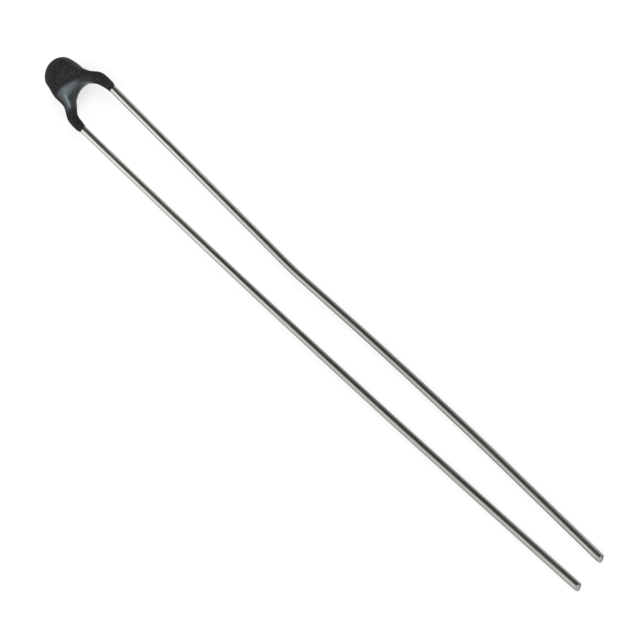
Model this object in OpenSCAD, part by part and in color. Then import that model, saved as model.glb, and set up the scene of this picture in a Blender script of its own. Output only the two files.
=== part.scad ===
// Bead thermistor: a square of sensing ceramic soldered between two kinked lead wires,
// dipped in epoxy that runs down onto both wires in a pair of short legs.
// It lies as it comes to rest: on the underside of the bead and on both lead tips.

/* [Lead wires] */
// Diameter of the tinned lead wire
lead_d = 0.38; // [0.30:0.01:0.50]
// Distance between the lead centres at the foot of the kinks
lead_pitch = 2.54; // [2.20:0.01:5.08]
// Length of bare wire from the coat to the tip
lead_free = 38.12; // [30:0.02:60]
// Straight length at the tip of each lead, which goes into a board
tip_straight = 6; // [3:0.5:8]
// Slope of each pinched face at a cut lead tip, from square
tip_slope = 28; // [5:1:45]

/* [Set of the left lead] */
// Angle at which the left lead leaves the coat, inwards
left_toe = 0.2; // [0:0.1:2]
// Bare length before the left lead starts to sweep inwards
left_straight = 4.1; // [2:0.1:12]
// Angle of the inward sweep
left_sweep = 1.6; // [0.5:0.1:3]

/* [Set of the right lead] */
// Angle at which the right lead leaves the coat, inwards
right_toe = 1.4; // [0:0.1:2]
// Bare length before the right lead bends outwards
right_straight = 15.1; // [5:0.1:16]
// Angle of the outward bend
right_bend = 2.7; // [0.5:0.1:4]
// Length of wire that the outward bend takes
right_bend_len = 1.5; // [1:0.5:2]
// Straight length between the outward bend and the return
right_mid = 3.5; // [1:0.5:4]
// Angle by which the right lead returns inwards
right_return = 1.9; // [0.5:0.1:3]

/* [Kinks above the legs] */
// Angle by which each lead leans in towards the chip
kink_angle = 35; // [25:1:45]
// Bend radius of the kink, to the wire's centre
kink_r = 0.8; // [0.4:0.05:0.9]

/* [Chip] */
// Thickness of the ceramic, from electrode to electrode
chip_t = 0.5; // [0.3:0.05:0.7]
// Width of the chip, square to the plane of the leads
chip_w = 1.0; // [0.7:0.05:1.4]
// Height of the chip along the leads
chip_h = 1.05; // [0.9:0.05:1.4]
// Distance of the chip above the upper end of the kinks
chip_lift = 0.18; // [0.1:0.005:0.6]
// Thickness of each fired silver electrode
electrode_t = 0.02; // [0.01:0.005:0.04]

/* [Solder] */
// Thickness of solder between a lead and its electrode
solder_film = 0.03; // [0.02:0.01:0.05]
// Thickness of the solder round a lead at its fullest
solder_cover = 0.1; // [0.07:0.01:0.12]
// Thickness of the solder where it thins out at the ends of its joint
solder_edge = 0.01; // [0.005:0.005:0.03]
// Length of each soldered joint
solder_h = 0.9; // [0.6:0.05:0.9]

/* [Legs of the epoxy coat] */
// Length of the straight coated leg below the left kink
left_leg_h = 0.785; // [0.5:0.005:1.5]
// Length of the straight coated leg below the right kink
right_leg_h = 0.875; // [0.5:0.005:1.5]
// Epoxy on the inner side of the left leg
left_leg_inner = 0.065; // [0.03:0.001:0.15]
// Epoxy on the outer side of the left leg
left_leg_outer = 0.069; // [0.03:0.001:0.15]
// Epoxy on the inner side of the right leg
right_leg_inner = 0.061; // [0.03:0.001:0.15]
// Epoxy on the outer side of the right leg
right_leg_outer = 0.05; // [0.03:0.001:0.15]
// Epoxy in the crook of the left leg, where it bends in
left_crook_inner = 0.124; // [0.05:0.001:0.25]
// Epoxy on the outside of that bend
left_crook_outer = 0.05; // [0.04:0.001:0.2]
// Epoxy in the crook of the right leg
right_crook_inner = 0.187; // [0.05:0.001:0.25]
// Epoxy on the outside of that bend
right_crook_outer = 0.05; // [0.04:0.001:0.2]
// Epoxy on the inner side of the left kink
left_kink_inner = 0.14; // [0.06:0.001:0.25]
// Epoxy on the outer side of the left kink
left_kink_outer = 0.088; // [0.06:0.001:0.25]
// Epoxy on the inner side of the right kink
right_kink_inner = 0.122; // [0.06:0.001:0.25]
// Epoxy on the outer side of the right kink
right_kink_outer = 0.123; // [0.06:0.001:0.25]
// Thickness of the lip at the lower end of a leg
lip_cover = 0.012; // [0.01:0.002:0.03]
// Height over which the epoxy thins out to the lip
meniscus_h = 0.38; // [0.3:0.02:0.45]
// How much further the lip reaches down on the upper side of the wire, as a slope
lip_slant = 0.7; // [0:0.1:1]

/* [Bead of the epoxy coat] */
// Epoxy beside each lead at the widest of the bead
side_cover = 0.215; // [0.2:0.005:0.6]
// Epoxy over the broad faces of the bead, above the chip's edges
face_cover = 0.42; // [0.3:0.005:0.6]
// Epoxy above the chip
top_cover = 0.455; // [0.3:0.005:0.8]
// Epoxy below the chip, down to the top of the arch
web_cover = 0.75; // [0.5:0.002:1]
// Thickness of the web between the legs
web_t = 0.72; // [0.6:0.02:1]
// Height over which the bead tapers down into the legs
taper_h = 2.3; // [1.8:0.02:3]
// Height of the left shoulder above the kink
left_shoulder_h = 0.155; // [0:0.005:0.3]
// Epoxy that stands out at the left shoulder, past the side of the bead
left_shoulder_out = 0.145; // [0:0.005:0.2]
// Height of the right shoulder above the kink
right_shoulder_h = 0.125; // [0:0.005:0.3]
// Epoxy that stands out at the right shoulder, past the side of the bead
right_shoulder_out = 0.03; // [0:0.005:0.2]

/* [Hidden] */

$fn = 64;
wire_sides = 16;
bend_steps = 6;
solder_steps = 8;
coat_sides = 40;
coat_steps = 4;
// Ribs that fan out from the arch over the dome of the bead on each side
fan_ribs = 3;
// Angles that the fan spans, from the middle, on the dome and on the arch below it
fan_dome = 93;
fan_arch = 30;
// Draws the inner ends of the fan together towards the middle of the arch
fan_bias = 1.35;
// Angle on the arch where a shoulder starts
shoulder_arch = 50;
// The swept wire is a hair thinner than its straight tip, which it runs into
sweep_slack = 0.001;

// In the plane of the leads, x runs across and y up the leads from the lower end of the coat
lead_r = lead_d / 2;
electrode_x = chip_t / 2 + electrode_t;
inner_x = electrode_x + solder_film + lead_r;
outer_x = lead_pitch / 2;
kink_run = (outer_x - inner_x - 2 * kink_r * (1 - cos(kink_angle))) / sin(kink_angle);
kink_h = 2 * kink_r * sin(kink_angle) + kink_run * cos(kink_angle);
chip_y = max(left_leg_h, right_leg_h) + kink_h + chip_lift;
chip_mid = chip_y + chip_h / 2;
chip_top = chip_y + chip_h;

// Outside of the coat
bead_rx = inner_x + lead_r + side_cover;
bead_ry = chip_h / 2 + top_cover;
bead_rz = chip_w / 2 + face_cover;
arch_y = chip_y - web_cover;

// Steps of a lead from its inner end: straight length, turn inwards, length of the bend
function arc(radius, angle) = radius * angle * PI / 180;
function kinks(leg_h, toe) = [
    [chip_top - leg_h - kink_h, -kink_angle, arc(kink_r, kink_angle)],
    [kink_run, kink_angle + toe, arc(kink_r, kink_angle + toe)],
];
left_steps = concat(kinks(left_leg_h, left_toe), [
    [left_leg_h + left_straight, left_sweep, lead_free - left_straight - tip_straight],
]);
right_steps = concat(kinks(right_leg_h, right_toe), [
    [right_leg_h + right_straight, -right_bend, right_bend_len],
    [right_mid, right_return, lead_free - right_straight - right_bend_len - right_mid - tip_straight],
]);

// Stations along a lead: place and lean inwards
function down(lean) = [-sin(lean), -cos(lean)];
function inwards(lean) = [-cos(lean), sin(lean)];
function stations(steps, p = [inner_x, chip_top], lean = 0, i = 0) =
    i == len(steps) ? [] :
    let (
        foot = p + steps[i][0] * down(lean),
        turn = steps[i][1],
        radius = steps[i][2] * 180 / (PI * turn),
        centre = foot + radius * inwards(lean),
        bend = [for (k = [1 : bend_steps]) let (a = lean + turn * k / bend_steps)
            [centre - radius * inwards(a), a]],
        end = bend[bend_steps - 1]
    )
    concat([[foot, lean]], bend, stations(steps, end[0], end[1], i + 1));
left_path = concat([[[inner_x, chip_top], 0]], stations(left_steps));
right_path = concat([[[inner_x, chip_top], 0]], stations(right_steps));

// Where the straight tip of a lead ends
function tip(path) = let (s = path[len(path) - 1]) s[0] + tip_straight * down(s[1]);
low_y = min(tip(left_path)[1], tip(right_path)[1]);

// A closed skin over a row of rings that have as many points each
module skin(rings) {
    n = len(rings[0]);
    last = len(rings) - 1;
    polyhedron(
        points = [for (r = rings) each r],
        faces = concat(
            [[for (k = [0 : n - 1]) k]],
            [for (i = [0 : last - 1]) for (k = [0 : n - 1]) each
                let (a = i * n + k, b = i * n + (k + 1) % n) [[a, a + n, b + n], [a, b + n, b]]],
            [[for (k = [n - 1 : -1 : 0]) last * n + k]]
        )
    );
}

// A ring round a wire at a place on its path, square to its lean
function wire_ring(place, lean, r) = [for (k = [0 : wire_sides - 1]) let (a = 360 * k / wire_sides)
    [place[0] + r * cos(a) * cos(lean), place[1] - r * cos(a) * sin(lean), r * sin(a)]];

// The straight end of a lead, pinched to a blunt wedge where it was cut
module pinched_tip() {
    overlap = lead_r;
    difference() {
        translate([0, overlap, 0]) rotate([90, 0, 0]) cylinder(h = tip_straight + overlap, r = lead_r);
        for (side = [0, 1])
            mirror([side, 0, 0]) translate([0, -tip_straight, 0]) rotate(tip_slope)
                translate([-lead_d, -lead_d, -lead_d]) cube([3 * lead_d, lead_d, 2 * lead_d]);
    }
}

// A lead on the right-hand side: the swept wire along its path, and its straight tip
module lead(path) {
    end = path[len(path) - 1];
    skin([for (s = path) wire_ring(s[0], s[1], lead_r - sweep_slack)]);
    translate(end[0]) rotate(-end[1]) pinched_tip();
}

// A spindle round the inner end of a lead, flat against the electrode
module spindle() {
    solder_r = lead_r + solder_cover;
    difference() {
        skin([for (i = [0 : solder_steps])
            let (t = 1 - 2 * i / solder_steps, r = solder_r - (solder_cover - solder_edge) * t * t)
            wire_ring([inner_x, chip_mid + t * solder_h / 2], 0, r)]);
        translate([electrode_x - solder_r, chip_mid - solder_h, -solder_r])
            cube([solder_r, 2 * solder_h, 2 * solder_r]);
    }
}

// The solder that fills a spindle round its lead
module solder(path) {
    difference() {
        spindle();
        lead(path);
    }
}

module chip() {
    translate([-chip_t / 2, chip_y, -chip_w / 2]) cube([chip_t, chip_h, chip_w]);
}

module electrode() {
    translate([chip_t / 2, chip_y, -chip_w / 2]) cube([electrode_t, chip_h, chip_w]);
}

// A rib of the coat in one vector: inner end, outer end, half thickness and slant
function rib(inner, outer, half, slant = 0) = concat(inner, outer, [half, slant]);
// A rib across the wire, with the epoxy on its inner and outer side
function ring(centre, lean, inner, outer, slant = 0) =
    let (across = [cos(lean), sin(lean)])
    rib(centre - (lead_r + inner) * across, centre + (lead_r + outer) * across,
        lead_r + (inner + outer) / 2, slant);
function dome(a) = [bead_rx * sin(a), chip_mid + bead_ry * cos(a)];

// Ribs of one half of the coat, from the lip of its leg up to the side of the middle.
// Leg, crook and kink hold the epoxy on the inner and outer side of the wire there.
function half_coat(leg_h, toe, leg, crook, kink, shoulder_h, shoulder_out) =
    let (
        on_leg = function (h) [outer_x - (leg_h - h) * tan(toe), h],
        half_bend = [outer_x - kink_r * (1 - cos(kink_angle / 2)), leg_h + kink_r * sin(kink_angle / 2)],
        kinked = ring([(outer_x + inner_x) / 2, leg_h + kink_h / 2], kink_angle, kink[0], kink[1]),
        arch = function (a) [kinked[0] * sin(a), kinked[1] + (arch_y - kinked[1]) * cos(a)]
    )
    concat(
        [
            ring(on_leg(0), 0, lip_cover, lip_cover, lip_slant),
            ring(on_leg(meniscus_h), 0, leg[0], leg[1]),
            ring(half_bend, kink_angle / 2, crook[0], crook[1]),
            kinked,
            rib(arch(shoulder_arch), [bead_rx + shoulder_out, leg_h + kink_h + shoulder_h], web_t / 2),
        ],
        [for (i = [fan_ribs : -1 : 1]) let (share = i / fan_ribs)
            rib(arch(fan_arch * pow(share, fan_bias)), dome(fan_dome * share), web_t / 2)]
    );
function mirrored(r) = concat([-r[0], r[1], -r[2]], [for (k = [3 : 5]) r[k]]);
function reversed(list) = [for (i = [len(list) - 1 : -1 : 0]) list[i]];

right_ribs = half_coat(
    right_leg_h, right_toe, [right_leg_inner, right_leg_outer], [right_crook_inner, right_crook_outer],
    [right_kink_inner, right_kink_outer], right_shoulder_h, right_shoulder_out);
left_ribs = half_coat(
    left_leg_h, left_toe, [left_leg_inner, left_leg_outer], [left_crook_inner, left_crook_outer],
    [left_kink_inner, left_kink_outer], left_shoulder_h, left_shoulder_out);
key_ribs = concat(
    right_ribs,
    [rib([0, arch_y], dome(0), web_t / 2)],
    [for (r = reversed(left_ribs)) mirrored(r)]
);

// A smooth curve through the key ribs
function key(i) = key_ribs[min(max(i, 0), len(key_ribs) - 1)];
function between(i, t) =
    let (a = key(i - 1), b = key(i), c = key(i + 1), d = key(i + 2))
    b + t / 2 * (c - a + t * (2 * a - 5 * b + 4 * c - d + t * (3 * b - a - 3 * c + d)));
ribs = concat(
    [for (i = [0 : len(key_ribs) - 2]) for (s = [0 : coat_steps - 1]) between(i, s / coat_steps)],
    [key(len(key_ribs) - 1)]
);

// How full the coat is at a height: 1 from the middle of the bead up, and 0 on the legs
function fullness(y) = (1 + cos(180 * min(1, max(0, chip_mid - y) / taper_h))) / 2;
// The closed section on a rib: an oval that fills out towards the bead, blunt along the arch
function section(r) =
    let (length = norm([r[2] - r[0], r[3] - r[1]]))
    [for (k = [0 : coat_sides - 1])
        let (
            a = 360 * k / coat_sides,
            w = (1 - cos(a)) / 2,
            x = r[0] + w * (r[2] - r[0]),
            y = r[1] + w * (r[3] - r[1]),
            half = r[4] + (bead_rz - r[4]) * fullness(y),
            blunt = cos(a) > 0 ? max(2, length / r[4]) : 2,
            z = sign(sin(a)) * half * sqrt(1 - pow(abs(cos(a)), blunt))
        )
        [x, y - r[5] * z, z]];
sections = [for (r = ribs) section(r)];

// At rest the lead plane leans from the fullest point of the bead down to the tips
full_z = max([for (s = sections) for (p = s) p[2]]);
full_y = [for (s = sections) for (p = s) if (p[2] == full_z) p[1]][0];
rest_lean = atan((full_z - lead_r) / (full_y - low_y));
rest_z = lead_r * cos(rest_lean) - low_y * sin(rest_lean);
rest_y = -(low_y + chip_mid + bead_ry) / 2;

// Lays the part on the ground from the plane of its leads
module at_rest() {
    translate([0, rest_y, rest_z]) rotate([rest_lean, 0, 0]) children();
}

module epoxy_coat() {
    color("#26272b") at_rest() difference() {
        skin(sections);
        chip();
        electrode();
        mirror([1, 0, 0]) electrode();
        spindle();
        mirror([1, 0, 0]) spindle();
        lead(right_path);
        mirror([1, 0, 0]) lead(left_path);
    }
}

module ceramic_chip() {
    color("#4a4642") at_rest() chip();
}

module electrode_left() {
    color("#d8d8d4") at_rest() mirror([1, 0, 0]) electrode();
}

module electrode_right() {
    color("#d8d8d4") at_rest() electrode();
}

module solder_left() {
    color("#a9acae") at_rest() mirror([1, 0, 0]) solder(left_path);
}

module solder_right() {
    color("#a9acae") at_rest() solder(right_path);
}

module lead_left() {
    color("#b7b4a8") at_rest() mirror([1, 0, 0]) lead(left_path);
}

module lead_right() {
    color("#b7b4a8") at_rest() lead(right_path);
}

epoxy_coat();
ceramic_chip();
electrode_left();
electrode_right();
solder_left();
solder_right();
lead_left();
lead_right();
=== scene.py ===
# %% [markdown]
# # Bead thermistor
# A temperature sensor: a small square of ceramic soldered between two lead wires and dipped in
# epoxy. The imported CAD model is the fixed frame, and this lesson dresses it: a smooth coat, drawn
# and tinned wires with pinched ends, and a finish for each piece that is sealed inside.

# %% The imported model
import math
import bmesh
import bpy
import numpy as np
from mathutils import Matrix, Vector


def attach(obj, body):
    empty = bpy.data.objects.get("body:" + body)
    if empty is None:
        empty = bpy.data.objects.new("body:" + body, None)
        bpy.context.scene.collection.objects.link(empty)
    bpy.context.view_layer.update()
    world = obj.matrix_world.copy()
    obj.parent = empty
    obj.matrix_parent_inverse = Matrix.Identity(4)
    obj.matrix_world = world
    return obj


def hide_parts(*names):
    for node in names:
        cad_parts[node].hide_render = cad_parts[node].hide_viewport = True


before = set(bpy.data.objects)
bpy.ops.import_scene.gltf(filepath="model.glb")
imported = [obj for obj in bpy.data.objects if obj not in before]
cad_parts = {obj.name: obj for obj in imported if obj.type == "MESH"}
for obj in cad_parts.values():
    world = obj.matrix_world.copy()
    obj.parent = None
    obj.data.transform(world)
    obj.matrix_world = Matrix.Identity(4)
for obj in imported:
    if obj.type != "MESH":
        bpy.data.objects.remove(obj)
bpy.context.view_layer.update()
scene = bpy.context.scene
scene.view_settings.view_transform = "Standard"
print("CAD nodes:", sorted(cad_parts))

# %% [markdown]
# ## Where the part lies
# The lead plane is the flat plane in which both wires were formed. Its x runs across the wires and
# its y up towards the bead, from the lower end of the coat. The part lies on the underside of the
# bead and on both wire tips, so this plane leans a little. One matrix takes plane millimetres to
# the metres of the frame, and every shape below is worked out in the plane first.

# %% The lead plane at rest
MM = 0.001
REST_LEAN = math.radians(1.00761)
REST_PLACE = Vector((0, 16.9771, 0.860544))
at_rest = Matrix.Scale(MM, 4) @ Matrix.Translation(REST_PLACE) @ Matrix.Rotation(REST_LEAN, 4, "X")
print("lead plane leans", round(math.degrees(REST_LEAN), 2), "degrees")

# %% [markdown]
# ## Sizes
# The wires and the chip have the sizes of the CAD model, in millimetres, so that the dressed wires
# cover it. The coat below follows the same ribs with its own covers, within a few hundredths.

# %% Sizes of the wires and the chip
LEAD_R = 0.19
INNER_X, OUTER_X = 0.49, 1.27
KINK_ANGLE, KINK_R = 35, 0.8
LEG = {"left": 0.785, "right": 0.875}
TOE = {"left": 0.2, "right": 1.4}
LEAD_FREE, TIP_STRAIGHT = 38.12, 6
CHIP_H, CHIP_W, CHIP_LIFT = 1.05, 1.0, 0.18


def sin(degrees):
    """Sine of an angle in degrees."""
    return math.sin(math.radians(degrees))


def cos(degrees):
    """Cosine of an angle in degrees."""
    return math.cos(math.radians(degrees))


KINK_RUN = (OUTER_X - INNER_X - 2 * KINK_R * (1 - cos(KINK_ANGLE))) / sin(KINK_ANGLE)
KINK_H = 2 * KINK_R * sin(KINK_ANGLE) + KINK_RUN * cos(KINK_ANGLE)
CHIP_Y = max(LEG.values()) + KINK_H + CHIP_LIFT
CHIP_MID, CHIP_TOP = CHIP_Y + CHIP_H / 2, CHIP_Y + CHIP_H
print("chip from", round(CHIP_Y, 3), "to", round(CHIP_TOP, 3), "mm above the coat's lower end")

# %% [markdown]
# ## The camera
# The photograph looks down on the part from the side of the wire tips, with a long lens. The camera
# stands 37.9 degrees from the lead plane's normal, and is turned so that the wires run from the top
# left of the picture to the bottom right. Its axes are built in the lead plane and then laid to
# rest with the part.

# %% A long lens over the wires
CAMERA_TILT, CAMERA_SIDE, WIRE_DIRECTION = 37.88, 15.32, -43.73
CAMERA_DISTANCE = 137.1
AIM = Vector((0.047, -18.82, 0))
SENSOR, LENS = 36, 168.75
CLIP_NEAR, CLIP_FAR = 0.005, 20

back = Vector((sin(CAMERA_TILT) * sin(CAMERA_SIDE), -sin(CAMERA_TILT) * cos(CAMERA_SIDE),
               cos(CAMERA_TILT)))
down_wire = Vector((0, -1, 0))
down_wire = (down_wire - back * down_wire.dot(back)).normalized()
beside_wire = back.cross(down_wire)
right = down_wire * cos(WIRE_DIRECTION) - beside_wire * sin(WIRE_DIRECTION)
up = down_wire * sin(WIRE_DIRECTION) + beside_wire * cos(WIRE_DIRECTION)
lean = Matrix.Rotation(REST_LEAN, 3, "X")
turn = Matrix((lean @ right, lean @ up, lean @ back)).transposed()

camera_data = bpy.data.cameras.new("camera")
camera_data.sensor_width, camera_data.lens = SENSOR, LENS
camera_data.clip_start, camera_data.clip_end = CLIP_NEAR, CLIP_FAR
camera = bpy.data.objects.new("camera", camera_data)
scene.collection.objects.link(camera)
camera.matrix_world = Matrix.Translation(at_rest @ (AIM + back * CAMERA_DISTANCE)) @ turn.to_4x4()
scene.camera = camera
print("camera at", [round(x * 1000, 1) for x in camera.location], "mm")

# %% [markdown]
# ## Node helpers
# Shader trees and geometry trees are made of the same parts: nodes, values on their sockets and
# links between them. A few small helpers keep the trees below readable. A Mix node has sockets of
# the same name for each kind of data, so those are found by their place.

# %% Helpers that add nodes and links
MIX_FACTOR, NUMBER_A, NUMBER_B, COLOUR_A, COLOUR_B, COLOUR_OUT = 0, 2, 3, 6, 7, 2


def add_node(tree, kind, values=None, **settings):
    """A new node, with its settings and the values of its input sockets by name or place."""
    node = tree.nodes.new(kind)
    for name, value in settings.items():
        setattr(node, name, value)
    for socket, value in (values or {}).items():
        node.inputs[socket].default_value = value
    return node


def join(tree, *links):
    """Links given as (node, output socket, node, input socket)."""
    for source, output, target, entry in links:
        tree.links.new(source.outputs[output], target.inputs[entry])


def mix_colours(tree, first, second):
    """A Mix node from one colour to another."""
    colours = {COLOUR_A: (*first, 1), COLOUR_B: (*second, 1)}
    return add_node(tree, "ShaderNodeMix", data_type="RGBA", values=colours)


def new_material(name, **values):
    """A material with its Principled BSDF set, and the tree to add to."""
    material = bpy.data.materials.new(name)
    material.use_nodes = True
    shader = material.node_tree.nodes["Principled BSDF"]
    for socket, value in values.items():
        shader.inputs[socket.replace("_", " ")].default_value = value
    return material, material.node_tree, shader


print("helpers ready")

# %% [markdown]
# ## Uneven surface
# Every finish here is uneven in the same way: soft patches and a fine grain. That effect is one
# shader group. It reads a position, which each material stretches to suit its piece, and puts out a
# broad mask, a fine mask and a height for a Bump node.

# %% Shader group for patches and grain
NOISE_LOW, NOISE_HIGH = 0.32, 0.68


def make_uneven_group():
    """The shader group, with its scales as inputs and its masks and height as outputs."""
    group = bpy.data.node_groups.new("uneven surface", "ShaderNodeTree")
    face = group.interface
    face.new_socket("Position", in_out="INPUT", socket_type="NodeSocketVector")
    for name, default in (("Patch Scale", 900.0), ("Grain Scale", 9000.0), ("Grain Share", 0.3)):
        face.new_socket(name, in_out="INPUT", socket_type="NodeSocketFloat").default_value = default
    for name in ("Patches", "Grain", "Height"):
        face.new_socket(name, in_out="OUTPUT", socket_type="NodeSocketFloat")
    start = add_node(group, "NodeGroupInput")
    end = add_node(group, "NodeGroupOutput")
    patches = add_node(group, "ShaderNodeTexNoise", {"Detail": 3.0, "Roughness": 0.55})
    grain = add_node(group, "ShaderNodeTexNoise", {"Detail": 2.0, "Roughness": 0.6})
    used_range = {"From Min": NOISE_LOW, "From Max": NOISE_HIGH}
    spread = add_node(group, "ShaderNodeMapRange", used_range)
    sharpen = add_node(group, "ShaderNodeMapRange", used_range)
    height = add_node(group, "ShaderNodeMix")
    join(group,
         (start, "Position", patches, "Vector"), (start, "Patch Scale", patches, "Scale"),
         (start, "Position", grain, "Vector"), (start, "Grain Scale", grain, "Scale"),
         (patches, 0, spread, "Value"), (spread, 0, end, "Patches"),
         (grain, 0, sharpen, "Value"), (sharpen, 0, end, "Grain"),
         (start, "Grain Share", height, MIX_FACTOR), (patches, 0, height, NUMBER_A),
         (grain, 0, height, NUMBER_B), (height, 0, end, "Height"))
    return group


uneven_group = make_uneven_group()
print("shader group:", uneven_group.name)

# %% [markdown]
# A material places the group on Object coordinates, which stay with the piece, and lets its masks
# vary the colour and the roughness. The height feeds a Bump node.

# %% Helpers for colour, roughness and bump


def uneven(tree, stretch, patch_scale, grain_scale, grain_share):
    """The uneven surface, placed in a material on object coordinates."""
    place = add_node(tree, "ShaderNodeTexCoord")
    mapping = add_node(tree, "ShaderNodeMapping", {"Scale": stretch})
    group = add_node(tree, "ShaderNodeGroup", node_tree=uneven_group)
    for name, value in (("Patch Scale", patch_scale), ("Grain Scale", grain_scale),
                        ("Grain Share", grain_share)):
        group.inputs[name].default_value = value
    join(tree, (place, "Object", mapping, "Vector"), (mapping, "Vector", group, "Position"))
    return group


def vary_colour(tree, shader, group, output, dark, light):
    """Base colour that goes from dark to light with one of the group's masks."""
    mix = mix_colours(tree, dark, light)
    join(tree, (group, output, mix, MIX_FACTOR), (mix, COLOUR_OUT, shader, "Base Color"))
    return mix


def vary_roughness(tree, shader, group, output, low, high):
    """Roughness that goes from low to high with one of the group's masks."""
    span = add_node(tree, "ShaderNodeMapRange", {"To Min": low, "To Max": high})
    join(tree, (group, output, span, "Value"), (span, 0, shader, "Roughness"))


def raise_bump(tree, shader, group, strength, distance):
    """A bump from the group's height."""
    bump = add_node(tree, "ShaderNodeBump", {"Strength": strength, "Distance": distance})
    join(tree, (group, "Height", bump, "Height"), (bump, "Normal", shader, "Normal"))


print("helpers for", uneven_group.name, "ready")

# %% [markdown]
# ## Finish of the epoxy
# The coat is charcoal epoxy with a mineral filler. The thick bead and the lower legs cure dull. The
# web along the arch is richer in resin, and shows a soft sheen with a cold tint. The resin share is
# an attribute of the mesh, written where the coat is made, and here it drives gloss, sheen and
# tint. A fine grain speckles the colour, and an orange-peel bump breaks up the sheen.

# %% Charcoal epoxy
epoxy, tree, shader = new_material("charcoal epoxy", IOR=1.56)
group = uneven(tree, stretch=(1, 1, 1), patch_scale=1400, grain_scale=8500, grain_share=0.6)
vary_colour(tree, shader, group, "Grain",
            dark=(0.0035, 0.0035, 0.0034), light=(0.0215, 0.0213, 0.0208))
raise_bump(tree, shader, group, strength=0.5, distance=0.015 * MM)
share = add_node(tree, "ShaderNodeAttribute", attribute_name="resin share")
gloss = add_node(tree, "ShaderNodeMapRange", {"To Min": 0.66, "To Max": 0.40})
sheen = add_node(tree, "ShaderNodeMapRange", {"To Min": 0.10, "To Max": 0.75})
grainy = add_node(tree, "ShaderNodeMapRange", {"To Min": -0.05, "To Max": 0.05})
rough = add_node(tree, "ShaderNodeMath", operation="ADD")
tint = mix_colours(tree, (1, 1, 0.96), (0.82, 0.95, 1))
join(tree,
     (share, "Fac", tint, MIX_FACTOR), (tint, COLOUR_OUT, shader, "Specular Tint"),
     (share, "Fac", gloss, "Value"), (gloss, 0, rough, 0),
     (group, "Grain", grainy, "Value"), (grainy, 0, rough, 1), (rough, 0, shader, "Roughness"),
     (share, "Fac", sheen, "Value"), (sheen, 0, shader, "Specular IOR Level"))
print("material:", epoxy.name)

# %% [markdown]
# ## Finish of the tinned wire
# The wire is drawn through a die and then tinned. The die leaves fine lines along it and the tin
# dulls in patches, so the same group is stretched along the wires, which run along Y. The colour
# also darkens along Y towards the tips. That is painted shade: light that falls off along the wires
# away from the bead. Tin with a thin oxide mirrors less at a grazing angle than clean metal, and
# that is the dark Specular Tint.

# %% Tinned wire
SHADE_FULL_BELOW, SHADE_NONE_ABOVE, PAINTED_SHADE_VALUE = -4 * MM, 17 * MM, 0.6
tinned, tree, shader = new_material("tinned wire", Metallic=1.0,
                                    Specular_Tint=(0.25, 0.25, 0.23, 1))
group = uneven(tree, stretch=(1, 0.03, 1), patch_scale=3000, grain_scale=26000, grain_share=0.5)
mixed = vary_colour(tree, shader, group, "Patches",
                    dark=(0.55, 0.54, 0.50), light=(0.66, 0.65, 0.605))
# Painted shade: the colour darkens along Y towards the tips, as if less light reached them.
place = add_node(tree, "ShaderNodeTexCoord")
along = add_node(tree, "ShaderNodeSeparateXYZ")
painted_falloff = add_node(tree, "ShaderNodeMapRange",
                  {"From Min": SHADE_FULL_BELOW, "From Max": SHADE_NONE_ABOVE, "To Min": PAINTED_SHADE_VALUE})
falloff_shaded = add_node(tree, "ShaderNodeHueSaturation")
join(tree,
     (place, "Object", along, "Vector"), (along, "Y", painted_falloff, "Value"),
     (painted_falloff, 0, falloff_shaded, "Value"), (mixed, COLOUR_OUT, falloff_shaded, "Color"),
     (falloff_shaded, "Color", shader, "Base Color"))
vary_roughness(tree, shader, group, "Grain", low=0.17, high=0.29)
raise_bump(tree, shader, group, strength=0.25, distance=0.006 * MM)
print("material:", tinned.name)

# %% [markdown]
# ## Finishes inside the coat
# The chip, its silver electrodes and the solder can't be seen, but they are real pieces of the
# part, so each keeps its CAD shape and gets its own finish: sawn ceramic, matt fired silver, solder.
# A finish is a dark and a light colour, how metallic it is, its least and most roughness, and the
# strength of its bump.

# %% Ceramic, silver and solder
INNER_FINISHES = {
    "sensing ceramic": ((0.055, 0.048, 0.042), (0.085, 0.075, 0.064), 0.0, 0.65, 0.85, 0.5),
    "fired silver": ((0.62, 0.61, 0.58), (0.74, 0.73, 0.70), 1.0, 0.45, 0.65, 0.4),
    "dull solder": ((0.36, 0.37, 0.38), (0.48, 0.49, 0.50), 1.0, 0.30, 0.50, 0.3),
}
inner_finish = {}
for name, (dark, light, metallic, low, high, strength) in INNER_FINISHES.items():
    material, tree, shader = new_material(name, Metallic=metallic)
    group = uneven(tree, stretch=(1, 1, 1), patch_scale=2500, grain_scale=18000, grain_share=0.4)
    vary_colour(tree, shader, group, "Patches", dark, light)
    vary_roughness(tree, shader, group, "Grain", low, high)
    raise_bump(tree, shader, group, strength, distance=0.01 * MM)
    inner_finish[name] = material

INNER_NODES = {
    "ceramic_chip": "sensing ceramic",
    "electrode_left": "fired silver", "electrode_right": "fired silver",
    "solder_left": "dull solder", "solder_right": "dull solder",
}
for node, finish in INNER_NODES.items():
    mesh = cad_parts[node].data
    mesh.materials.clear()
    mesh.materials.append(inner_finish[finish])
print("inner pieces:", INNER_NODES)

# %% [markdown]
# ## The path of a wire
# A lead starts beside the chip, kinks outwards, and runs down through its leg of epoxy to the tip.
# The left one sweeps gently inwards, and the right one has a slight double bend where it was
# straightened by hand. The path is walked like a turtle: a straight length, then a turn over a
# given length of wire.

# %% Stations along each lead


def arc(radius, angle):
    """Length of an arc, with its angle in degrees."""
    return radius * math.radians(angle)


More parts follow.
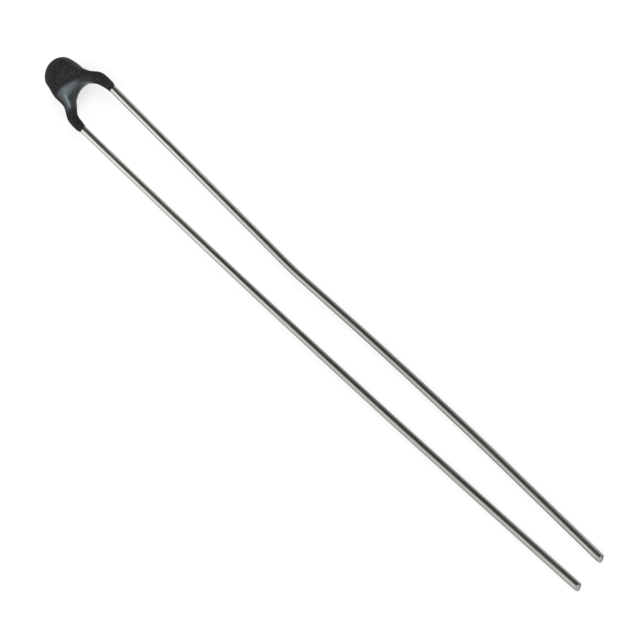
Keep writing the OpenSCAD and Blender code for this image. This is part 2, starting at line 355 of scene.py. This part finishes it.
def lead_steps(side):
    """Straight length, turn inwards and length of the bend, from the inner end to the tip."""
    leg, toe = LEG[side], TOE[side]
    steps = [(CHIP_TOP - leg - KINK_H, -KINK_ANGLE, arc(KINK_R, KINK_ANGLE)),
             (KINK_RUN, KINK_ANGLE + toe, arc(KINK_R, KINK_ANGLE + toe))]
    if side == "left":
        straight, sweep = 4.1, 1.6
        return steps + [(leg + straight, sweep, LEAD_FREE - straight - TIP_STRAIGHT)]
    straight, bend, bend_len, middle, back_turn = 15.1, 2.7, 1.5, 3.5, 1.9
    rest = LEAD_FREE - straight - bend_len - middle - TIP_STRAIGHT
    return steps + [(leg + straight, -bend, bend_len), (middle, back_turn, rest)]


def lead_path(side, bend_points=24):
    """Points of a lead on the right-hand side of the lead plane, and its lean at the tip."""
    place, heading = Vector((INNER_X, CHIP_TOP)), 0.0
    points = [place.copy()]
    for straight, bend, length in lead_steps(side):
        place = place + straight * Vector((-sin(heading), -cos(heading)))
        points.append(place.copy())
        radius = length / math.radians(bend)
        centre = place + radius * Vector((-cos(heading), sin(heading)))
        for k in range(1, bend_points + 1):
            angle = heading + bend * k / bend_points
            points.append(centre - radius * Vector((-cos(angle), sin(angle))))
        place, heading = points[-1].copy(), heading + bend
    points.append(place + TIP_STRAIGHT * Vector((-sin(heading), -cos(heading))))
    return points, heading


for side in LEG:
    points, heading = lead_path(side)
    tip = [round(x, 3) for x in points[-1]]
    print(side, "lead:", len(points), "points, tip at", tip, "leaning", round(heading, 2))

# %% [markdown]
# ## Sweeping the wire
# A wire follows its path, so Geometry Nodes sweep it: the path becomes a curve, is resampled to
# even steps, and a circle runs along it. The tree's inputs are the diameter, the step, the number of
# sides, the finish, and a small wander that keeps the wire from being ruler straight.

# %% Geometry Nodes tree for a drawn wire
WANDER_SCALE = 160.0


def make_wire_tree():
    """The tree that turns a path of edges into a round wire with its finish."""
    tree = bpy.data.node_groups.new("drawn wire", "GeometryNodeTree")
    face = tree.interface
    for name, kind in (("Path", "Geometry"), ("Diameter", "Float"), ("Step", "Float"),
                       ("Sides", "Int"), ("Wander", "Float"), ("Finish", "Material")):
        face.new_socket(name, in_out="INPUT", socket_type="NodeSocket" + kind)
    face.new_socket("Wire", in_out="OUTPUT", socket_type="NodeSocketGeometry")
    start, end = add_node(tree, "NodeGroupInput"), add_node(tree, "NodeGroupOutput")
    curve = add_node(tree, "GeometryNodeMeshToCurve")
    even = add_node(tree, "GeometryNodeResampleCurve", mode="LENGTH")
    place = add_node(tree, "GeometryNodeInputPosition")
    noise = add_node(tree, "ShaderNodeTexNoise", {"Scale": WANDER_SCALE, "Detail": 1.0})
    centred = add_node(tree, "ShaderNodeVectorMath", {1: (0.5, 0.5, 0.5)}, operation="SUBTRACT")
    offset = add_node(tree, "ShaderNodeVectorMath", operation="SCALE")
    moved = add_node(tree, "GeometryNodeSetPosition")
    halve = add_node(tree, "ShaderNodeMath", {1: 0.5}, operation="MULTIPLY")
    profile = add_node(tree, "GeometryNodeCurvePrimitiveCircle")
    sweep = add_node(tree, "GeometryNodeCurveToMesh", {"Fill Caps": True})
    smooth = add_node(tree, "GeometryNodeSetShadeSmooth")
    real = add_node(tree, "GeometryNodeRealizeInstances")
    finish = add_node(tree, "GeometryNodeSetMaterial")
    join(tree,
         (start, "Path", curve, "Mesh"), (curve, "Curve", even, "Curve"),
         (start, "Step", even, "Length"), (even, "Curve", moved, "Geometry"),
         (place, "Position", noise, "Vector"), (noise, "Color", centred, 0),
         (centred, "Vector", offset, 0), (start, "Wander", offset, "Scale"),
         (offset, "Vector", moved, "Offset"), (moved, "Geometry", sweep, "Curve"),
         (start, "Diameter", halve, 0), (halve, 0, profile, "Radius"),
         (start, "Sides", profile, "Resolution"), (profile, "Curve", sweep, "Profile Curve"),
         (sweep, "Mesh", smooth, "Geometry"), (smooth, "Geometry", real, "Geometry"),
         (real, "Geometry", finish, "Geometry"), (start, "Finish", finish, "Material"),
         (finish, "Geometry", end, "Wire"))
    return tree


wire_tree = make_wire_tree()
print("geometry tree:", wire_tree.name, "with", len(wire_tree.nodes), "nodes")

# %% [markdown]
# The tree runs as a modifier on a path of plain edges. Its result is copied into a mesh of its own,
# and the path is removed, so no modifier is left on the piece.

# %% From a path to a wire
WIRE_STEP, WIRE_SIDES, WIRE_WANDER = 0.12, 40, 0.01


def set_input(modifier, name, value):
    """Sets a modifier's input by the identifier of its socket."""
    for item in modifier.node_group.interface.items_tree:
        if item.item_type == "SOCKET" and item.in_out == "INPUT" and item.name == name:
            modifier[item.identifier] = value


def swept_wire(side, mirror):
    """A lead as a plain mesh before its end is cut, with its tip and its direction there."""
    points, heading = lead_path(side)
    places = [at_rest @ Vector((mirror * p.x, p.y, 0)) for p in points]
    mesh = bpy.data.meshes.new(f"{side} path")
    mesh.from_pydata(places, [(i, i + 1) for i in range(len(places) - 1)], [])
    path = bpy.data.objects.new(f"{side}_path", mesh)
    scene.collection.objects.link(path)
    modifier = path.modifiers.new("drawn wire", "NODES")
    modifier.node_group = wire_tree
    for name, value in (("Diameter", 2 * LEAD_R * MM), ("Step", WIRE_STEP * MM),
                        ("Sides", WIRE_SIDES), ("Wander", WIRE_WANDER * MM), ("Finish", tinned)):
        set_input(modifier, name, value)
    result = path.evaluated_get(bpy.context.evaluated_depsgraph_get())
    swept = bpy.data.meshes.new_from_object(result)
    bpy.data.objects.remove(path)
    along = Vector((-mirror * sin(heading), -cos(heading), 0))
    return swept, Vector((mirror * points[-1].x, points[-1].y, 0)), along


print("wire of", 2 * LEAD_R, "mm in steps of", WIRE_STEP, "mm")

# %% [markdown]
# ## Pinched ends
# A wire that is nipped off with side cutters ends in a blunt wedge. Two planes through the end cut
# the swept wire, the holes are closed, and a small bevel rounds the sharp edges of the cut. The
# cutters were held askew, so the wedge is rolled about the wire and one facet looks up to the left.

# %% The two lead wires
TIP_SLOPE, TIP_ROLL = 28, -45
TIP_ROUND, TIP_REACH, SHARP_ANGLE = 0.018, 1.68 * LEAD_R, 20


def pinch_end(mesh, tip, along):
    """Cuts the end to a wedge whose ridge is rolled about the wire."""
    shape = bmesh.new()
    shape.from_mesh(mesh)
    tip_place, plane_turn = at_rest @ tip, at_rest.to_3x3().normalized()
    ridge = Matrix.Rotation(math.radians(TIP_ROLL), 3, along) @ Vector((0, 0, 1))
    for way in (-1, 1):
        normal = Matrix.Rotation(math.radians(way * TIP_SLOPE), 3, ridge) @ along
        cut = bmesh.ops.bisect_plane(
            shape, geom=shape.verts[:] + shape.edges[:] + shape.faces[:], dist=1e-9,
            plane_co=tip_place, plane_no=plane_turn @ normal, clear_outer=True)
        edges = [e for e in cut["geom_cut"] if isinstance(e, bmesh.types.BMEdge) and e.is_boundary]
        bmesh.ops.contextual_create(shape, geom=edges)
    rims = [e for e in shape.edges
            if e.is_manifold and e.calc_face_angle() > math.radians(SHARP_ANGLE)
            and all((v.co - tip_place).length < TIP_REACH * MM for v in e.verts)]
    bmesh.ops.bevel(shape, geom=rims, offset=TIP_ROUND * MM, segments=3, profile=0.6,
                    affect="EDGES", clamp_overlap=True)
    bmesh.ops.recalc_face_normals(shape, faces=shape.faces[:])
    for face in shape.faces:
        face.smooth = True
    shape.to_mesh(mesh)
    shape.free()


for side, mirror in (("left", -1), ("right", 1)):
    mesh, tip, along = swept_wire(side, mirror)
    pinch_end(mesh, tip, along)
    wire = bpy.data.objects.new(f"{side}_wire", mesh)
    scene.collection.objects.link(wire)
    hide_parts(f"lead_{side}")
    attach(wire, "root")
    print(wire.name, len(mesh.polygons), "faces")

# %% [markdown]
# ## The dipped coat
# The coat is what a dip leaves: a bead over the chip, a web below it that hangs in an arch between
# the wires, and a leg down each wire that thins out to a lip. It is lofted over ribs, which walk
# from one lip over the bead to the other lip. A rib runs from the arch to the outside of the coat,
# and the epoxy on both sides of the wire sets its ends on the legs. A smooth curve through a few
# key ribs gives all the others.

# %% Key ribs of the coat
LEG_COVER = {"left": (0.059, 0.067), "right": (0.061, 0.051)}
CROOK_COVER = {"left": (0.127, 0.05), "right": (0.186, 0.053)}
KINK_COVER = {"left": (0.129, 0.097), "right": (0.131, 0.12)}
SHOULDER_H, SHOULDER_OUT = {"left": 0.165, "right": 0.08}, {"left": 0.14, "right": 0.02}
LIP_COVER, LIP_SLANT, MENISCUS_H = 0.012, 0.7, 0.38
SIDE_COVER, FACE_COVER, TOP_COVER = 0.238, 0.42, 0.458
WEB_COVER, WEB_T, TAPER_H = 0.883, 0.6, 2.28
FAN_RIBS, FAN_DOME, FAN_ARCH, FAN_BIAS, SHOULDER_ARCH = 3, 93, 30, 1.35, 50
BEAD_RX, BEAD_RY = INNER_X + LEAD_R + SIDE_COVER, CHIP_H / 2 + TOP_COVER
BEAD_RZ = CHIP_W / 2 + FACE_COVER
ARCH_Y = CHIP_Y - WEB_COVER


def rib(inner, outer, half, slant=0.0):
    """Inner end, outer end, half thickness and slant in one row."""
    return np.array([*inner, *outer, half, slant])


def ring(x, y, tilt, cover, slant=0.0):
    """A rib across the wire, with the epoxy on its inner and outer side."""
    across, centre = np.array([cos(tilt), sin(tilt)]), np.array([x, y])
    return rib(centre - (LEAD_R + cover[0]) * across, centre + (LEAD_R + cover[1]) * across,
               LEAD_R + sum(cover) / 2, slant)


def dome(angle):
    """A point on the outside of the bead, by its angle from the top."""
    return BEAD_RX * sin(angle), CHIP_MID + BEAD_RY * cos(angle)


def half_coat(side):
    """Ribs of one half, from the lip of its leg up to the side of the middle."""
    leg, slope, half = LEG[side], math.tan(math.radians(TOE[side])), KINK_ANGLE / 2
    kinked = ring((OUTER_X + INNER_X) / 2, leg + KINK_H / 2, KINK_ANGLE, KINK_COVER[side])

    def arch(angle):
        """A point on the arch between the legs, by its angle from the middle."""
        return kinked[0] * sin(angle), kinked[1] + (ARCH_Y - kinked[1]) * cos(angle)

    ribs = [
        ring(OUTER_X - leg * slope, 0, 0, (LIP_COVER, LIP_COVER), LIP_SLANT),
        ring(OUTER_X - (leg - MENISCUS_H) * slope, MENISCUS_H, 0, LEG_COVER[side]),
        ring(OUTER_X - KINK_R * (1 - cos(half)), leg + KINK_R * sin(half), half, CROOK_COVER[side]),
        kinked,
        rib(arch(SHOULDER_ARCH), (BEAD_RX + SHOULDER_OUT[side], leg + KINK_H + SHOULDER_H[side]),
            WEB_T / 2),
    ]
    for i in range(FAN_RIBS, 0, -1):
        share = i / FAN_RIBS
        ribs.append(rib(arch(FAN_ARCH * share ** FAN_BIAS), dome(FAN_DOME * share), WEB_T / 2))
    return ribs


FLIP = np.array([-1, 1, -1, 1, 1, 1])
key_ribs = (half_coat("right") + [rib((0, ARCH_Y), dome(0), WEB_T / 2)]
            + [r * FLIP for r in reversed(half_coat("left"))])
print(len(key_ribs), "key ribs")

# %% [markdown]
# The section on a rib is an oval. On the legs it is as thick as the wire and its epoxy, and it
# fills out towards the middle of the bead along half a cosine wave, as a drop does that hung while
# it cured. The wave also falls off a little to the sides, which rounds the bead. Along the arch a
# higher power keeps the edge blunt.

# %% Loft over the ribs
COAT_SIDES, COAT_STEPS, ROUNDNESS, BLUNT = 120, 12, 0.6, 3.0


def smooth_ribs(keys, steps):
    """A smooth curve through the key ribs, with steps ribs from each key to the next."""
    ribs = []
    for i in range(len(keys) - 1):
        a, b, c, d = (keys[min(max(i + k, 0), len(keys) - 1)] for k in (-1, 0, 1, 2))
        for t in np.arange(steps) / steps:
            bend, twist = 2 * a - 5 * b + 4 * c - d, 3 * b - a - 3 * c + d
            ribs.append(b + t / 2 * (c - a + t * (bend + t * twist)))
    return ribs + [keys[-1]]


def fullness(x, y):
    """1 at the middle of the bead, falling off to the sides and down to 0 on the legs."""
    away = np.hypot(ROUNDNESS * x, np.maximum(0, CHIP_MID - y))
    return (1 + np.cos(math.pi * np.clip(away / TAPER_H, 0, 1))) / 2


def round_rib(row, sides):
    """Angles round a rib, how far along it each point lies, their places and its length."""
    angle = np.arange(sides) * 2 * math.pi / sides
    w = (1 - np.cos(angle)) / 2
    x, y = row[0] + w * (row[2] - row[0]), row[1] + w * (row[3] - row[1])
    return angle, w, x, y, math.hypot(row[2] - row[0], row[3] - row[1])


def section(row, sides):
    """Points of the closed section on a rib."""
    angle, _, x, y, length = round_rib(row, sides)
    half = row[4] + (BEAD_RZ - row[4]) * fullness(x, y)
    blunt = np.where(np.cos(angle) > 0, min(max(2, length / row[4]), BLUNT), 2)
    z = np.sign(np.sin(angle)) * half * np.sqrt(np.maximum(0, 1 - np.abs(np.cos(angle)) ** blunt))
    z[[0, sides // 2]] = 0
    return np.stack([x, y - row[5] * z, z], 1)


ribs = smooth_ribs(key_ribs, COAT_STEPS)
rings = [section(r, COAT_SIDES) for r in ribs]
print(len(rings), "ribs of", COAT_SIDES, "points")

# %% [markdown]
# Resin gathers in a band along the arch, where the drop thinned out. The band is broader on the
# left, ends on the legs, and fades at the thin rim next to the arch, most of all on the left. Such
# a finish follows the shape, so it is worked out on the ribs and goes into the mesh as an attribute.

# %% Resin share on the ribs
RESIN_BAND, RESIN_LEFT, RESIN_LEAST, RESIN_FADE = 0.33, 0.36, 0.15, 0.14
RESIN_MOST, LEG_FULLNESS = 0.58, 0.07
RIM_WIDTH, RIM_SHARE, RIM_RISE = 0.15, 0.35, 1.4


def resin_round(row, sides):
    """Resin share at each point round a rib."""
    _, w, x, y, length = round_rib(row, sides)
    band = np.maximum(RESIN_BAND - RESIN_LEFT * x, RESIN_LEAST)
    band = np.minimum(band, RESIN_MOST * length)
    in_band = np.clip(0.5 + (band - w * length) / RESIN_FADE, 0, 1)
    off_legs = np.clip(fullness(x, y) / LEG_FULLNESS, 0, 1)
    rim = np.clip(RIM_SHARE + RIM_RISE * x, RIM_SHARE, 1)
    return in_band * off_legs * np.clip(rim + (1 - rim) * w * length / RIM_WIDTH, 0, 1)


resin_share = [resin_round(r, COAT_SIDES) for r in ribs]
print("mean resin share", round(float(np.mean(resin_share)), 3))

# %% [markdown]
# At its lower end the skin rolls over the lip and runs a little way back up along the wire, inside
# the wire's own surface, so that no gap shows. Then it is closed.

# %% The coat as a mesh
LIP_ROLL = ((0.9, 0.25), (0.9, 0.02), (0.935, -0.004), (0.97, -0.006))


def rolled_lip(first):
    """Rings that roll a lip over onto the wire, from the tunnel's end out to the lip."""
    centre = first.mean(0)
    return [centre + (first - centre) * size + np.array([0, rise, 0]) for size, rise in LIP_ROLL]


rings = rolled_lip(rings[0]) + rings + rolled_lip(rings[-1])[::-1]
places = [at_rest @ Vector(p) for r in rings for p in r]
n, last = COAT_SIDES, len(rings) - 1
faces = [(i * n + k, (i + 1) * n + k, (i + 1) * n + (k + 1) % n, i * n + (k + 1) % n)
         for i in range(last) for k in range(n)]
faces += [tuple(range(n)), tuple(last * n + k for k in reversed(range(n)))]
mesh = bpy.data.meshes.new("dipped coat")
mesh.from_pydata(places, [], faces)
shape = bmesh.new()
shape.from_mesh(mesh)
bmesh.ops.recalc_face_normals(shape, faces=shape.faces[:])
for face in shape.faces:
    face.smooth = True
shape.to_mesh(mesh)
shape.free()
mesh.materials.append(epoxy)
lip_share = [np.zeros(n)] * len(LIP_ROLL)
point_share = np.concatenate(lip_share + resin_share + lip_share)
attribute = mesh.attributes.new("resin share", "FLOAT", "POINT")
attribute.data.foreach_set("value", point_share.astype(np.float32))
coat = bpy.data.objects.new("dipped_coat", mesh)
scene.collection.objects.link(coat)
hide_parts("epoxy_coat")
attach(coat, "root")
print(coat.name, len(mesh.polygons), "faces")

# %% [markdown]
# ## The studio
# A plain pale floor comes first. It shows the camera and the shiny pieces some white of its own, so
# that the picture's background is white and the shadow stays faint.

# %% Floor
FLOOR_R, FLOOR_SIDES, FLOOR_GLOW = 4.0, 96, 0.7
floor_material, tree, shader = new_material("pale floor", Roughness=0.9,
                                            Base_Color=(0.93, 0.93, 0.93, 1))
rays = add_node(tree, "ShaderNodeLightPath")
seen = add_node(tree, "ShaderNodeMath", operation="MAXIMUM")
also = add_node(tree, "ShaderNodeMath", operation="MAXIMUM")
glow = add_node(tree, "ShaderNodeMath", {1: FLOOR_GLOW}, operation="MULTIPLY")
white = add_node(tree, "ShaderNodeEmission", {"Strength": 1.0})
both = add_node(tree, "ShaderNodeMixShader")
join(tree,
     (rays, "Is Camera Ray", seen, 0), (rays, "Is Glossy Ray", seen, 1), (seen, 0, also, 0),
     (rays, "Is Transmission Ray", also, 1), (also, 0, glow, 0), (glow, 0, both, 0),
     (shader, "BSDF", both, 1), (white, "Emission", both, 2),
     (both, "Shader", tree.nodes["Material Output"], "Surface"))
mesh = bpy.data.meshes.new("floor")
shape = bmesh.new()
bmesh.ops.create_circle(shape, cap_ends=True, segments=FLOOR_SIDES, radius=FLOOR_R)
shape.to_mesh(mesh)
shape.free()
mesh.materials.append(floor_material)
floor = bpy.data.objects.new("floor", mesh)
scene.collection.objects.link(floor)
print("floor of", FLOOR_R, "m radius")

# %% [markdown]
# A softbox stands at the back on the left and a soft screen hangs over the front, in a dim room.
# The wires mirror the softbox on their left side and the dim room on their right side, and that
# draws the light and the dark band along each of them. The front screen is what the web of the coat
# mirrors. Both are soft-edged masks of the world's own direction.

# %% Room, softbox and front screen
ROOM, SCREEN = 0.08, 2.15
world = bpy.data.worlds.new("studio")
scene.world = world
world.use_nodes = True
tree = world.node_tree
sky = tree.nodes["Background"]
sky.inputs["Color"].default_value = (0.97, 0.985, 1.0, 1)
place = add_node(tree, "ShaderNodeTexCoord")


def bright_side(direction, start, full, share=1.0):
    """A mask of the sky that rises from start to full towards a direction."""
    towards = add_node(tree, "ShaderNodeVectorMath", {1: direction}, operation="DOT_PRODUCT")
    edge = add_node(tree, "ShaderNodeMapRange", interpolation_type="SMOOTHSTEP",
                    values={"From Min": start, "From Max": full, "To Max": share})
    join(tree, (place, "Generated", towards, 0), (towards, "Value", edge, "Value"))
    return edge


left_side = bright_side((-0.995, 0.0, 0.1), start=0.04, full=0.30, share=0.64)
rear_side = bright_side((0.0, 1.0, 0.0), start=-0.1, full=0.35)
front_side = bright_side((-0.1, -0.68, 0.725), start=0.56, full=0.92)
softbox = add_node(tree, "ShaderNodeMath", operation="MULTIPLY")
screens = add_node(tree, "ShaderNodeMath", operation="MAXIMUM")
level = add_node(tree, "ShaderNodeMapRange", {"To Min": ROOM, "To Max": SCREEN})
join(tree, (left_side, 0, softbox, 0), (rear_side, 0, softbox, 1), (softbox, 0, screens, 0),
     (front_side, 0, screens, 1), (screens, 0, level, "Value"), (level, 0, sky, "Strength"))
print("screens of", SCREEN, "in a room of", ROOM)

# %% [markdown]
# One round lamp on the right gives the spot on the left leg of the coat. Its power follows from the
# brightness that its face should have, so its size can change without changing that.

# %% Lamp
LAMP_TILT, LAMP_SIDE = 43, 75
LAMP_DISTANCE, LAMP_SIZE, LAMP_RADIANCE = 0.5, 0.33, 6.2
towards_lamp = Vector((sin(LAMP_TILT) * sin(LAMP_SIDE), -sin(LAMP_TILT) * cos(LAMP_SIDE),
                       cos(LAMP_TILT)))
lamp_data = bpy.data.lights.new("round lamp", "AREA")
lamp_data.shape, lamp_data.size = "DISK", LAMP_SIZE
lamp_data.energy = LAMP_RADIANCE * (math.pi * LAMP_SIZE / 2) ** 2
lamp_data.color = (0.86, 0.94, 1.0)
lamp = bpy.data.objects.new("round lamp", lamp_data)
lamp.location = at_rest @ Vector((0, CHIP_MID, 0)) + towards_lamp * LAMP_DISTANCE
lamp.rotation_euler = towards_lamp.to_track_quat("Z", "Y").to_euler()
scene.collection.objects.link(lamp)
print("lamp of", LAMP_SIZE, "m,", round(lamp_data.energy, 2), "W")
